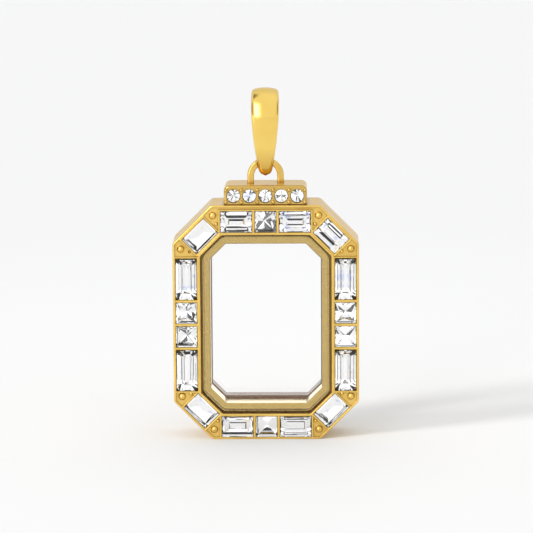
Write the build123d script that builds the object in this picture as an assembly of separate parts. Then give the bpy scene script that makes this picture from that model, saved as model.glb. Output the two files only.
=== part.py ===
"""Octagonal floating locket: stone-set front, raised stone bar, hinged back, glass both sides, bail."""
from build123d import *
import math
import os

# Everything is in millimetres. +X is to the right of someone who looks at the front, the front
# faces -Y and +Z is up. The pieces are drawn in the case's own frame, whose zero is the middle of
# the outline on the front face, and place() then moves them so that the origin is the point inside
# the top of the bail where the chain bears.

# Case depths, from the front face to the back face
front_depth = 4.35
seam_gap = 0.12
back_depth = 3.28
front_edge_round = 0.2
back_edge_round = 0.4
bore_edge_bevel = 0.12

# Window, its ledges and its panes
window_width = 19.0
window_height = 26.4
window_drop = 0.3
window_corner_cut = 3.1
ledge_width = 1.42
front_recess = 1.35
front_pane_thickness = 1.0
back_window_drop = 0.0
back_ledge_width = 1.52
back_bore_corner_cut = 1.95
back_recess = 0.8
back_pane_thickness = 0.6
pane_side_gap = 0.32
pane_seat_gap = 0.02
pane_corner_round = 1.7
recess_corner_round = 0.5
channel_depth = 0.3
pane_bevel = 0.15

# Frame round the window, seen from the front
side_rim = 0.45
row_rim = 0.65
corner_band = 3.96
corner_round = 0.9

# Stones in the frame and their cells; the long ones fill what the squares leave of each side
stone_width = 3.0
square_length = 3.0
row_overhang = 0.1
side_end_room = 0.35
corner_length = 4.3
corner_width = 2.9
side_stone_corner_cut = 0.7
cell_wall = 0.5
window_wall = 0.45
side_window_wall = 0.55
corner_slide = 0.22
stone_gap = 0.06
stone_table_depth = 0.06
stone_depth = 1.75
cell_floor_gap = 0.1
mouth_bevel = 0.1

# Relief between the cells: raised walls and rim, and a sunken field with beads
wall_line = 0.3
rim_line = 0.32
field_depth = 0.18
field_least_area = 0.1
bead_radius = 0.55
bead_sink = 0.3
row_bead_in = 0.25
row_bead_down = 1.5
side_bead_in = 1.2
side_bead_down = 0.8
small_bead_radius = 0.24
small_bead_sink = 0.14
small_row_bead = (0.5, 1.25)
small_side_bead = (1.3, 0.4)

# Raised bar on the top with five round stones
bar_end_wall = 0.45
bar_height = 2.85
bar_setback = 0.2
back_bar_drop = 0.25
bar_crease_height = 0.12
bar_crease_depth = 0.25
bar_corner_round = 0.85
bar_edge_round = 0.3
round_stone_count = 5
round_stone_diameter = 1.9
round_stone_pitch = 2.3
round_stone_height = 1.3
round_stone_depth = 1.15
round_stone_gap = 0.04
round_table_share = 0.56
round_star_share = 0.8
round_crown_share = 0.22
round_girdle_share = 0.06
prong_radius = 0.28
prong_offset = 0.87
prong_sink = 0.05
end_prong_in = 0.3

# Hanging loop of flat-sided wire, soldered into the bar
loop_wire = 0.94
loop_thickness = 0.8
loop_edge_round = 0.2
loop_radius = 2.2
loop_rise = 0.96
loop_depth = 3.3
loop_twist = 10.0
loop_foot = 0.6

# Bail: a closed teardrop strap that tapers to its foot
bail_width = 3.95
bail_top_radius = 4.0
bail_foot_radius = 1.2
bail_strap = 1.15
bail_crown_radius = 2.6
bail_height = 12.85
bail_shoulder = 2.3
bail_waist_width = 2.04
bail_waist_height = 1.25
bail_toe_width = 1.6
bail_toe_height = 0.6
bail_tip_trim = 0.05
bail_over_bar = 1.0
link_gap = 0.1
saddle_half_width = 1.4
saddle_radius = 1.3

# Hinge on the left side, sunk flush into the outline
hinge_inset = 0.95
knuckle_radius = 0.85
knuckle_gap = 0.1
hinge_pin_radius = 0.35
pin_gap = 0.03
running_gap = 0.05
middle_knuckle = 4.0
end_knuckle = 2.9
lug_reach = 0.4
hinge_bevel_angle = 50.0

# Tongue of the back that snaps into a groove of the front
tongue_offset = 0.9
tongue_width = 0.7
tongue_height = 0.5
tongue_gap = 0.12

# Cuts run this far past a face, and two places nearer than this are the same
cut_margin = 1.0
same_place = 1e-3

# Places that follow from the sizes above
total_depth = front_depth + seam_gap + back_depth
case_width = window_width + 2 * (side_window_wall + stone_width + side_rim)
case_height = window_height + 2 * (window_wall + stone_width + row_rim)
half_width = case_width / 2
half_height = case_height / 2
window_reach = (window_width + window_height) / 2 - window_corner_cut
corner_cut = half_width + half_height - window_reach - math.sqrt(2) * corner_band
row_side = window_width - 2 * window_corner_cut
long_side = window_height - 2 * window_corner_cut
row_length = (row_side + 2 * row_overhang - square_length) / 2 - cell_wall
side_length = (long_side - 2 * side_end_room - 3 * cell_wall) / 2 - square_length
bar_width = (round_stone_count - 1) * round_stone_pitch + round_stone_diameter + 2 * bar_end_wall
back_seam = front_depth + seam_gap
seam_middle = front_depth + seam_gap / 2
window_top = window_height / 2 - window_drop
window_bottom = window_height / 2 + window_drop
bar_top = half_height + bar_height
round_row_height = half_height + round_stone_height
loop_centre = bar_top + loop_rise
link_height = loop_centre + loop_radius
bail_crotch = loop_wire / 2 + link_gap
bail_foot = bar_top + bail_over_bar
bail_top = bail_foot + bail_height
bail_top_centre = bail_top - bail_top_radius
bail_foot_centre = bail_foot + bail_foot_radius
chain_seat = bail_top - bail_strap
hinge_x = -(half_width - hinge_inset)


def place(shape):
    """Move a piece from the case's frame to the frame whose origin is where the chain bears."""
    return Pos(0, -loop_depth, -chain_seat) * shape


def slab(sketch, front, back):
    """Thicken a front-view sketch between two depths."""
    facing = Plane((0, back, 0), x_dir=(1, 0, 0), z_dir=(0, -1, 0))
    return extrude(facing * sketch, amount=back - front)


def mouth(outline):
    """Bevel at the mouth of a cut in the front face, widening towards the front."""
    start = Plane((0, mouth_bevel, 0), x_dir=(1, 0, 0), z_dir=(0, -1, 0))
    return extrude(start * outline, amount=2 * mouth_bevel, taper=-45)


def octagon(width, height, cut, drop=0.0):
    """Rectangle with its corners cut at 45 degrees, lowered by drop."""
    x = width / 2
    z = height / 2
    corners = [
        (x, z - cut), (x - cut, z), (cut - x, z), (-x, z - cut),
        (-x, cut - z), (cut - x, -z), (x - cut, -z), (x, cut - z),
    ]
    return Pos(0, -drop) * Polygon(*corners, align=None)


def grown_octagon(width, height, cut, drop, grow):
    """The same octagon with every side moved outwards by grow."""
    new_cut = cut + (2 - math.sqrt(2)) * grow
    return octagon(width + 2 * grow, height + 2 * grow, new_cut, drop)


def case_outline():
    """Outer octagon of both halves."""
    outline = octagon(case_width, case_height, corner_cut)
    return fillet(outline.vertices(), corner_round)


def bar_outline(drop=0.0):
    """Front view of the raised bar, with a root inside the case and its top lowered by drop."""
    root = corner_round
    height = bar_height - drop
    bar = Pos(0, half_height + (height - root) / 2) * Rectangle(bar_width, height + root)
    top_corners = bar.vertices().sort_by(Axis.Y)[-2:]
    return fillet(top_corners, bar_corner_round)


def recess_outline(drop):
    """Octagon of the recess that holds a pane."""
    recess = octagon(window_width, window_height, window_corner_cut, drop)
    return fillet(recess.vertices(), recess_corner_round)


def pane_outline(drop):
    """Octagon of a pane, smaller than its recess and rounder at the corners."""
    outline = grown_octagon(
        window_width, window_height, window_corner_cut, drop, -pane_side_gap)
    return fillet(outline.vertices(), pane_corner_round)


def channel_outline(drop):
    """Narrow channel round the pane's seat."""
    return recess_outline(drop) - pane_outline(drop)


def bore_outline(grow=0.0):
    """Octagon of the bore inside the front ledge."""
    return grown_octagon(
        window_width, window_height, window_corner_cut, window_drop, grow - ledge_width)


def back_bore_outline():
    """Octagon of the bore inside the back ledge, a little smaller and higher."""
    return octagon(
        window_width - 2 * back_ledge_width, window_height - 2 * back_ledge_width,
        back_bore_corner_cut, back_window_drop)


def faceted(rings, closed_faces):
    """Solid from rings of points joined by flat facets, plus the listed extra faces."""
    faces = []
    for upper, lower in zip(rings, rings[1:]):
        count = len(upper)
        for i in range(count):
            j = (i + 1) % count
            faces.append(Face(Wire.make_polygon([upper[i], upper[j], lower[j], lower[i]])))
    for points in closed_faces:
        faces.append(Face(Wire.make_polygon(points)))
    solid = Solid(Shell(faces))
    return solid if solid.volume > 0 else Solid(Shell([-face for face in faces]))


# Step-cut stones: share of the half width that is cut away, and share of the depth
step_cut_rings = [
    ("table", 0.34, 0.0),
    ("crown step", 0.14, 0.12),
    ("girdle", 0.0, 0.24),
    ("girdle edge", 0.0, 0.32),
    ("pavilion step", 0.3, 0.62),
    ("keel", 0.86, 1.0),
]


def step_cut_stone(length, width, cut):
    """Rectangular step-cut stone, lying along X, its table facing the front."""
    rings = []
    for _, inset_share, depth_share in step_cut_rings:
        inset = inset_share * width / 2
        x = length / 2 - inset
        z = width / 2 - inset
        y = stone_table_depth + depth_share * stone_depth
        if cut > 0:
            c = cut * (1 - inset_share)
            outline = [
                (x, z - c), (x - c, z), (c - x, z), (-x, z - c),
                (-x, c - z), (c - x, -z), (x - c, -z), (x, c - z),
            ]
        else:
            outline = [(x, z), (-x, z), (-x, -z), (x, -z)]
        rings.append([Vector(px, y, pz) for px, pz in outline])
    return faceted(rings, [rings[0], rings[-1]])


def round_stone():
    """Round brilliant: table, eight star facets, eight kites and a pointed pavilion."""
    radius = round_stone_diameter / 2
    table = round_table_share * radius
    middle = round_star_share * radius
    crown = round_crown_share * round_stone_depth
    girdle = round_girdle_share * round_stone_depth
    half_step = math.pi / 8
    middle_fall = crown * (middle * math.cos(half_step) - table) / (radius - table)

    def point(reach, step, depth):
        angle = step * half_step
        return Vector(reach * math.cos(angle), bar_setback + depth, reach * math.sin(angle))

    faces = [[point(table, 2 * k, 0) for k in range(8)]]
    culet = Vector(0, bar_setback + round_stone_depth, 0)
    for k in range(8):
        here = 2 * k
        star = point(middle, here + 1, middle_fall)
        before = point(middle, here - 1, middle_fall)
        faces.append([point(table, here, 0), point(table, here + 2, 0), star])
        faces.append([point(table, here, 0), star, point(radius, here, crown), before])
        for step in (here, here + 1):
            faces.append([star, point(radius, step, crown), point(radius, step + 1, crown)])
        for step in (here, here + 1):
            top = [point(radius, step, crown), point(radius, step + 1, crown)]
            low = [point(radius, step + 1, crown + girdle), point(radius, step, crown + girdle)]
            faces.append(top + low)
            faces.append([low[0], low[1], culet])
    return faceted([], faces)


def frame_stones():
    """Every stone of the frame: name, centre across, centre up, length, width, turn, corner cut."""
    row_pitch = square_length / 2 + cell_wall + row_length / 2
    top_row = window_top + window_wall + stone_width / 2
    bottom_row = -(window_bottom + window_wall + stone_width / 2)
    column = window_width / 2 + side_window_wall + stone_width / 2
    square_up = (square_length + cell_wall) / 2
    long_up = square_up + square_length / 2 + cell_wall + side_length / 2
    stones = []
    for row, height in (("top", top_row), ("bottom", bottom_row)):
        for number, across, length in ((1, -row_pitch, row_length), (2, 0.0, square_length),
                                       (3, row_pitch, row_length)):
            stones.append((f"stone_{row}_{number}", across, height, length, stone_width, 0.0, 0.0))
    for side, across in (("left", -column), ("right", column)):
        for number, up, length in ((1, long_up, side_length), (2, square_up, square_length),
                                   (3, -square_up, square_length), (4, -long_up, side_length)):
            cut = side_stone_corner_cut if length == side_length else 0.0
            stones.append((f"stone_{side}_{number}", across, up - window_drop, length,
                           stone_width, 90.0, cut))
    outer = (half_width - corner_cut / 2, half_height - corner_cut / 2)
    slide = corner_slide / math.sqrt(2)
    for end, up_sign, window_edge in (("upper", 1, window_top), ("lower", -1, window_bottom)):
        inner = (window_width / 2 - window_corner_cut / 2, window_edge - window_corner_cut / 2)
        across = (outer[0] + inner[0]) / 2 + slide
        up = (outer[1] + inner[1]) / 2 - slide
        for side, side_sign in (("left", -1), ("right", 1)):
            turn = -45.0 * up_sign * side_sign
            stones.append((f"stone_{end}_{side}", side_sign * across, up_sign * up,
                           corner_length, corner_width, turn, 0.0))
    return stones


def round_stone_places():
    """Centres of the round stones along the bar."""
    first = -(round_stone_count - 1) / 2 * round_stone_pitch
    return [first + i * round_stone_pitch for i in range(round_stone_count)]


def sunken_field(stones):
    """Front-view area between the raised cell walls and the raised rim."""
    field = octagon(
        case_width - 2 * rim_line, case_height - 2 * rim_line,
        corner_cut - (2 - math.sqrt(2)) * rim_line)
    field -= grown_octagon(
        window_width, window_height, window_corner_cut, window_drop, rim_line)
    for _, across, up, length, width, turn, _ in stones:
        wall = Rectangle(length + 2 * wall_line, width + 2 * wall_line)
        field -= Pos(across, up) * Rot(0, 0, turn) * wall
    return [face for face in field.faces() if face.area > field_least_area]


def bead_places():
    """Centres of the large and the small beads: across, up, radius, sink."""
    beads = []
    for side in (-1, 1):
        for end in (-1, 1):
            row = (half_width - corner_cut - row_bead_in, half_height - row_bead_down)
            flank = (half_width - side_bead_in, half_height - corner_cut - side_bead_down)
            for big, step in ((row, small_row_bead), (flank, small_side_bead)):
                small = (big[0] - step[0], big[1] - step[1])
                beads.append((side * big[0], end * big[1], bead_radius, bead_sink))
                beads.append((side * small[0], end * small[1], small_bead_radius, small_bead_sink))
    return beads


def prong_places():
    """Centres of the prongs beside the round stones."""
    places = round_stone_places()
    between = [(a + b) / 2 for a, b in zip(places, places[1:])]
    end = bar_width / 2 - end_prong_in
    heights = (round_row_height - prong_offset, round_row_height + prong_offset)
    return [(x, z) for x in [-end] + between + [end] for z in heights]


def dome(across, up, depth, radius):
    """Ball whose centre lies at the given depth behind the front face."""
    return Pos(across, depth, up) * Sphere(radius)


def hanging_loop():
    """Arch of flat-sided wire with two feet sunk into the bar."""
    arch = Circle(loop_radius + loop_wire / 2) - Circle(loop_radius - loop_wire / 2)
    arch &= Pos(0, loop_radius) * Rectangle(4 * loop_radius, 2 * loop_radius)
    leg_length = loop_rise + loop_foot
    for side in (-1, 1):
        arch += Pos(side * loop_radius, -leg_length / 2) * Rectangle(loop_wire, leg_length)
    loop = slab(arch, -loop_thickness / 2, loop_thickness / 2)
    sides = loop.faces().sort_by(Axis.Y)
    loop = fillet(sides[0].edges() + sides[-1].edges(), loop_edge_round)
    return Pos(0, loop_depth, loop_centre) * Rot(0, 0, loop_twist) * loop


def hinge_relief():
    """Room that both halves leave along the hinge: a bevelled groove and the barrel's bed."""
    reach = 2 * hinge_inset
    rise = reach * math.tan(math.radians(hinge_bevel_angle))
    wedge = Polygon((0, 0), (-reach, rise), (-reach, -rise), align=None)
    groove = extrude(wedge, amount=case_height / 2, both=True)
    barrel = middle_knuckle + 2 * end_knuckle + 4 * knuckle_gap
    bed = Cylinder(knuckle_radius + knuckle_gap, barrel)
    return Pos(hinge_x, seam_middle, 0) * (groove + bed)


def knuckle(middle, length, toward):
    """One hinge knuckle with its lug, toward -1 for the front half and 1 for the back half."""
    barrel = Cylinder(knuckle_radius, length)
    lug_length = knuckle_radius + knuckle_gap + lug_reach
    lug_height = knuckle_radius - seam_gap / 2
    lug = Box(lug_length, lug_height, length)
    lug = Pos(lug_length / 2, toward * (seam_gap / 2 + lug_height / 2), 0) * lug
    return Pos(hinge_x, seam_middle, middle) * (barrel + lug)


def end_knuckle_places():
    """Heights of the middles of the two knuckles on the front half."""
    away = middle_knuckle / 2 + knuckle_gap + end_knuckle / 2
    return [-away, away]


def tongue_ring(grow, front, back):
    """Octagonal ring round the bore for the tongue, or for its groove when grown."""
    outer = bore_outline(tongue_offset + tongue_width + grow)
    inner = bore_outline(tongue_offset - grow)
    return slab(outer - inner, front, back)


def pin_hole(gap):
    """Hole for the hinge pin."""
    return Pos(hinge_x, seam_middle, 0) * Cylinder(hinge_pin_radius + gap, case_height)


def bore_edges(solid, depth):
    """Edges of the bore that lie in the plane at the given depth."""
    half_bore = window_width / 2 - ledge_width
    tall_bore = window_height / 2 - ledge_width + window_drop
    found = []
    for edge in solid.edges():
        box = edge.bounding_box()
        flat = max(abs(box.min.Y - depth), abs(box.max.Y - depth)) < same_place
        inside = max(abs(box.min.X), abs(box.max.X)) < half_bore + same_place
        if flat and inside and max(abs(box.min.Z), abs(box.max.Z)) < tall_bore + same_place:
            found.append(edge)
    return found


def front_case():
    """Front half: stone frame, ledge, bar, loop and two hinge knuckles in one casting."""
    stones = frame_stones()
    case = slab(case_outline(), 0, front_depth)
    case = fillet(case.faces().sort_by(Axis.Y)[0].edges(), front_edge_round)
    bar = slab(bar_outline(), bar_setback, front_depth)
    bar = fillet(bar.faces().sort_by(Axis.Y)[0].edges(), bar_edge_round)
    case += bar
    case -= slab(recess_outline(window_drop), -cut_margin, front_recess)
    case -= slab(bore_outline(), -cut_margin, front_depth + cut_margin)
    case = chamfer(bore_edges(case, front_recess) + bore_edges(case, front_depth), bore_edge_bevel)
    case -= slab(channel_outline(window_drop), -cut_margin, front_recess + channel_depth)
    case -= mouth(recess_outline(window_drop))
    for field in sunken_field(stones):
        case -= slab(field, -cut_margin, field_depth)
    floor = stone_table_depth + stone_depth + cell_floor_gap
    for _, across, up, length, width, turn, _ in stones:
        cell = Rectangle(length + 2 * stone_gap, width + 2 * stone_gap)
        cell = Pos(across, up) * Rot(0, 0, turn) * cell
        case -= slab(cell, -cut_margin, floor)
        case -= mouth(cell)
    seat_radius = round_stone_diameter / 2 + round_stone_gap
    seat_floor = bar_setback + round_stone_depth + cell_floor_gap
    for across in round_stone_places():
        case -= slab(Pos(across, round_row_height) * Circle(seat_radius), -cut_margin, seat_floor)
    for across, up, radius, sink in bead_places():
        case += dome(across, up, sink, radius)
    for across, up in prong_places():
        case += dome(across, up, bar_setback + prong_sink, prong_radius)
    crease = Rectangle(bar_width, bar_crease_height)
    crease = Pos(0, half_height + bar_crease_height / 2) * crease
    case -= slab(crease, -cut_margin, bar_setback + bar_crease_depth)
    case += hanging_loop()
    case -= hinge_relief()
    groove_floor = front_depth - tongue_height - tongue_gap
    case -= tongue_ring(tongue_gap, groove_floor, front_depth + cut_margin)
    for middle in end_knuckle_places():
        case += knuckle(middle, end_knuckle, -1)
    return case - pin_hole(pin_gap)


def back_case():
    """Back half: plain ring with the rear of the bar, a tongue and the middle knuckle."""
    case = slab(case_outline(), back_seam, total_depth)
    case = fillet(case.faces().sort_by(Axis.Y)[-1].edges(), back_edge_round)
    bar = slab(bar_outline(back_bar_drop), back_seam, total_depth)
    bar = fillet(bar.faces().sort_by(Axis.Y)[-1].edges(), bar_edge_round)
    case += bar
    ledge_plane = total_depth - back_recess
    case -= slab(recess_outline(back_window_drop), ledge_plane, total_depth + cut_margin)
    case -= slab(back_bore_outline(), back_seam - cut_margin, total_depth + cut_margin)
    case = chamfer(bore_edges(case, back_seam) + bore_edges(case, ledge_plane), bore_edge_bevel)
    channel = channel_outline(back_window_drop)
    case -= slab(channel, ledge_plane - channel_depth, total_depth + cut_margin)
    case += tongue_ring(0, back_seam - seam_gap - tongue_height, back_seam + bore_edge_bevel)
    case -= hinge_relief()
    case += knuckle(0, middle_knuckle, 1)
    return case - pin_hole(running_gap)


def pane(front, thickness, drop):
    """Octagonal glass pane with rounded corners and a bevel round its outer face."""
    glass = slab(pane_outline(drop), front, front + thickness)
    facing = glass.faces().sort_by(Axis.Y)[0 if front < front_depth else -1]
    return chamfer(facing.edges(), pane_bevel)


def front_glass():
    """Pane in the front recess, on the ledge."""
    front = front_recess - pane_seat_gap - front_pane_thickness
    return pane(front, front_pane_thickness, window_drop)


def back_glass():
    """Pane in the back recess, on its ledge."""
    front = total_depth - back_recess + pane_seat_gap
    return pane(front, back_pane_thickness, back_window_drop)


def hinge_pin():
    """Plain pin through the three knuckles."""
    length = middle_knuckle + 2 * end_knuckle + 2 * knuckle_gap
    return Pos(hinge_x, seam_middle, 0) * Cylinder(hinge_pin_radius, length)


def teardrop(top_radius, top_height, foot_radius, foot_height):
    """Side view of the bail: two circles joined by their outer tangents, in depth and height."""
    rise = top_height - foot_height
    lean = math.asin((top_radius - foot_radius) / rise)
    across = math.cos(lean)
    fall = math.sin(lean)
    top_right = (top_radius * across, top_height - top_radius * fall)
    top_left = (-top_right[0], top_right[1])
    foot_right = (foot_radius * across, foot_height - foot_radius * fall)
    foot_left = (-foot_right[0], foot_right[1])
    outline = Line(foot_right, top_right)
    outline += ThreePointArc(top_right, (0, top_height + top_radius), top_left)
    outline += Line(top_left, foot_left)
    outline += ThreePointArc(foot_left, (0, foot_height - foot_radius), foot_right)
    return make_face(outline)


def bail_front_view():
    """Front view of the bail: straight shoulders and sides that curve in to a round foot."""
    above = bail_top + bail_strap
    shoulder = (bail_width / 2, bail_top - bail_shoulder)
    waist = (bail_waist_width / 2, bail_foot + bail_waist_height)
    toe = (bail_toe_width / 2, bail_foot + bail_toe_height)
    tip = (0, bail_foot + bail_tip_trim)
    half = Line((0, above), (shoulder[0], above))
    half += Line((shoulder[0], above), shoulder)
    heading = Vector(0, -1)
    for start, end in ((shoulder, waist), (waist, toe), (toe, tip)):
        arc = TangentArc(start, end, tangent=(heading.X, heading.Y))
        heading = arc % 1
        half += arc
    half += Line(tip, (0, above))
    face = make_face(half)
    return face + mirror(face, about=Plane.YZ)


def crowned_section(half, reach):
    """Section of the strap: crowned outside with its top at zero, and flat at -reach."""
    edge = math.sqrt(bail_crown_radius ** 2 - half ** 2) - bail_crown_radius
    outline = Line((-half, -reach), (half, -reach))
    outline += Line((half, -reach), (half, edge))
    outline += ThreePointArc((half, edge), (0, 0), (-half, edge))
    outline += Line((-half, edge), (-half, -reach))
    return make_face(outline)


def crowned_wheel(radius, height, half):
    """Crowned disc about the bail's cross axis, as its top and its foot are rounded."""
    wheel = revolve(Pos(0, radius) * crowned_section(half, radius), Axis.X)
    return Pos(0, loop_depth, height) * wheel


def crowned_side():
    """Crowned straight side at the back, between the top and the foot."""
    rise = bail_top_centre - bail_foot_centre
    lean = math.asin((bail_top_radius - bail_foot_radius) / rise)
    length = rise * math.cos(lean)
    start = (0, loop_depth + bail_foot_radius * math.cos(lean),
             bail_foot_centre - bail_foot_radius * math.sin(lean))
    along = Plane(start, x_dir=(1, 0, 0), z_dir=(0, math.sin(lean), math.cos(lean)))
    section = crowned_section(bail_width / 2, bail_strap + link_gap)
    return extrude(along * section, amount=length)


def bail():
    """Crowned teardrop strap with a saddle where the loop's wire bears."""
    strap = crowned_wheel(bail_top_radius, bail_top_centre, bail_width / 2)
    strap += crowned_wheel(bail_foot_radius, bail_foot_centre, bail_waist_width)
    side = crowned_side()
    strap += side
    strap += mirror(side, about=Plane((0, loop_depth, 0), z_dir=(0, 1, 0)))
    reach = 2 * bail_top_radius
    strap &= slab(bail_front_view(), loop_depth - reach, loop_depth + reach)
    side_plane = Plane((0, loop_depth, 0), x_dir=(0, 1, 0), z_dir=(1, 0, 0))
    hollow = teardrop(bail_top_radius - bail_strap, bail_top_centre, bail_crotch, link_height)
    strap -= extrude(side_plane * hollow, amount=bail_width, both=True)
    profile = Polygon(
        (-saddle_half_width, 0), (-saddle_half_width, saddle_radius), (0, bail_crotch),
        (saddle_half_width, saddle_radius), (saddle_half_width, 0), align=None)
    saddle = revolve(profile, Axis.X)
    return strap - Pos(0, loop_depth, link_height) * saddle


def build():
    """Write every piece to its own file."""
    os.makedirs("parts", exist_ok=True)
    pieces = {
        "bail": bail(),
        "front_case": front_case(),
        "front_glass": front_glass(),
        "back_case": back_case(),
        "back_glass": back_glass(),
        "hinge_pin": hinge_pin(),
    }
    for name, across, up, length, width, turn, cut in frame_stones():
        stone = step_cut_stone(length, width, cut)
        pieces[name] = Pos(across, 0, up) * Rot(0, -turn, 0) * stone
    for number, across in enumerate(round_stone_places(), start=1):
        pieces[f"bar_stone_{number}"] = Pos(across, 0, round_row_height) * round_stone()
    for name, piece in pieces.items():
        export_step(place(piece), f"parts/{name}.step")


build()
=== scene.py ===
import math

import bmesh
import bpy
from mathutils import Matrix, Vector


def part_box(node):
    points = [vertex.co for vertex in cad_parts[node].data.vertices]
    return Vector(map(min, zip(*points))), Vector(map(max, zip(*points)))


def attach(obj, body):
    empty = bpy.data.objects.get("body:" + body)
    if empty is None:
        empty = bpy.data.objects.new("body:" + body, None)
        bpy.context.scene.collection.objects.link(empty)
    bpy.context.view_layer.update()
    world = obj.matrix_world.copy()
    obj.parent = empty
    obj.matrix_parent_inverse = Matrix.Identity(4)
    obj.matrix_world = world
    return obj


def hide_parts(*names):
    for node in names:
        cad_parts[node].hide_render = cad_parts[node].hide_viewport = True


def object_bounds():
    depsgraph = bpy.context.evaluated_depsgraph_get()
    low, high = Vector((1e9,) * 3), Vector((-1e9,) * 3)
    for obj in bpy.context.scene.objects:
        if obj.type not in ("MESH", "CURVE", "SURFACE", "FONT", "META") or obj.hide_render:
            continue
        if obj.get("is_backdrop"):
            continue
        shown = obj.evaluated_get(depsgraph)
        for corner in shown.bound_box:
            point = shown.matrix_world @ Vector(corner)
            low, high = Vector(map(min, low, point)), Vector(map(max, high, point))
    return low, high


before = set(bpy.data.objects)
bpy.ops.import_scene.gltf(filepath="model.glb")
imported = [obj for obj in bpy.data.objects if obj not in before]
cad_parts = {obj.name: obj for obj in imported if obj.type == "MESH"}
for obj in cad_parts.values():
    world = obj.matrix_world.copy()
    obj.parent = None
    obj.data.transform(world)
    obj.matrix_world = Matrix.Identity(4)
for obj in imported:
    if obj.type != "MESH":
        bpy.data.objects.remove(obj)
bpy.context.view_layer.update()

mm = 0.001
scene = bpy.context.scene

# Sizes of the locket that the pieces here share
table_depth = 0.06 * mm
window_drop = 0.3 * mm
window_half_width = 9.5 * mm
window_half_height = 13.2 * mm
window_corner_cut = 3.1 * mm
seam_depth = 4.41 * mm
corner_stone_size = (4.3 * mm, 2.9 * mm)
long_stone_corner = 0.42 * mm

# The case's own zero: middle of the outline on the front face
square_low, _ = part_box("stone_top_2")
pane_low, pane_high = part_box("front_glass")
case_low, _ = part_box("front_case")
bail_low, bail_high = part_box("bail")
case_zero = Vector((
    0.0, square_low[1] - table_depth, (pane_low[2] + pane_high[2]) / 2 + window_drop))
round_low, round_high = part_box("bar_stone_3")
next_low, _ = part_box("bar_stone_4")
round_stone_height = (round_low[2] + round_high[2]) / 2
round_stone_step = next_low[0] - round_low[0]


# ---------------------------------------------------------------- nodes

def node(tree, kind, **values):
    """New node with some of its properties or inputs set; an underscore stands for a space."""
    made = tree.nodes.new(kind)
    for key, value in values.items():
        name = key.replace("_", " ")
        if name in made.inputs:
            made.inputs[name].default_value = value
        else:
            setattr(made, key, value)
    return made


def join(tree, source, output, target, entry):
    """Link a node's output to another node's input."""
    tree.links.new(source.outputs[output], target.inputs[entry])


def feed(tree, target, *parts):
    """Fill a node's inputs in order, from values, nodes or (node, output) pairs."""
    for entry, part in enumerate(parts):
        if isinstance(part, bpy.types.Node):
            part = part, 0
        if isinstance(part, tuple) and isinstance(part[0], bpy.types.Node):
            join(tree, *part, target, entry)
        else:
            target.inputs[entry].default_value = part
    return target


def maths(tree, operation, *parts):
    """Result of an operation on numbers."""
    return feed(tree, node(tree, "ShaderNodeMath", operation=operation), *parts)


def vectors(tree, operation, *parts):
    """Result of an operation on vectors."""
    return feed(tree, node(tree, "ShaderNodeVectorMath", operation=operation), *parts)


def logic(tree, operation, *parts):
    """AND, OR or NOT of conditions."""
    made = feed(tree, node(tree, "FunctionNodeBooleanMath", operation=operation), *parts[:2])
    return logic(tree, operation, made, *parts[2:]) if len(parts) > 2 else made


def split(tree, source, output=0):
    """X, Y and Z of a vector."""
    return feed(tree, node(tree, "ShaderNodeSeparateXYZ"), (source, output))


def combine(tree, x, y, z):
    """Vector of three numbers."""
    return feed(tree, node(tree, "ShaderNodeCombineXYZ"), x, y, z)


def span(tree, source, output, low, high, start=0.0, end=1.0):
    """Map a value from low..high to start..end."""
    made = node(tree, "ShaderNodeMapRange", From_Min=low, From_Max=high, To_Min=start, To_Max=end)
    join(tree, source, output, made, "Value")
    return made


def within(tree, source, output, low, high, soft):
    """1 where a value lies between low and high, fading to 0 over soft."""
    rise = span(tree, source, output, low - soft, low + soft)
    fall = span(tree, source, output, high - soft, high + soft, 1.0, 0.0)
    return maths(tree, "MULTIPLY", rise, fall)


def blend(tree, factor, first, second, kind="MIX"):
    """Mix two colours by a node's result; each colour is a tuple or a (node, output) pair."""
    made = node(tree, "ShaderNodeMix", data_type="RGBA", blend_type=kind)
    join(tree, factor, 0, made, 0)
    for entry, colour in ((6, first), (7, second)):
        if isinstance(colour[0], bpy.types.Node):
            join(tree, *colour, made, entry)
        else:
            made.inputs[entry].default_value = (*colour, 1)
    return made, 2


# ---------------------------------------------------------------- finishes

# Painted shade on the gold in crevices, painted shadow in the seam and painted shade round the
# bar's stones
crevice_shade_tint = (0.40, 0.31, 0.22)
seam_shadow_tint = (0.33, 0.22, 0.10)
rim_shade_tint = (0.16, 0.10, 0.05)
# Foil: its plain reflection, and faint cold and warm tints that wander over it as painted coloured
# glints of the crystals' fire
foil_and_fire_tints = ((0.985, 0.985, 0.985), (0.72, 0.77, 0.98), (0.98, 0.86, 0.72))
# How softly the zones of painted light and shade end, across the front and in depth
zone_fade, depth_fade = 0.03 * mm, 0.02 * mm


def new_finish(name):
    """Empty node material: material, tree and output node."""
    material = bpy.data.materials.new(name)
    material.use_nodes = True
    material.node_tree.nodes.clear()
    return material, material.node_tree, material.node_tree.nodes.new("ShaderNodeOutputMaterial")


def window_distance(tree, parts):
    """How far outside the window's octagon a point lies, seen from the front."""
    across = maths(tree, "ABSOLUTE", (parts, "X"))
    up = maths(tree, "ABSOLUTE",
               maths(tree, "SUBTRACT", (parts, "Z"), case_zero.z - window_drop))
    beside = maths(tree, "SUBTRACT", across, window_half_width)
    above = maths(tree, "SUBTRACT", up, window_half_height)
    slant = math.sqrt(0.5)
    reach = window_half_width + window_half_height - window_corner_cut
    corner = maths(tree, "MULTIPLY_ADD", maths(tree, "ADD", across, up), slant, -slant * reach)
    return maths(tree, "MAXIMUM", maths(tree, "MAXIMUM", beside, above), corner)


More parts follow.
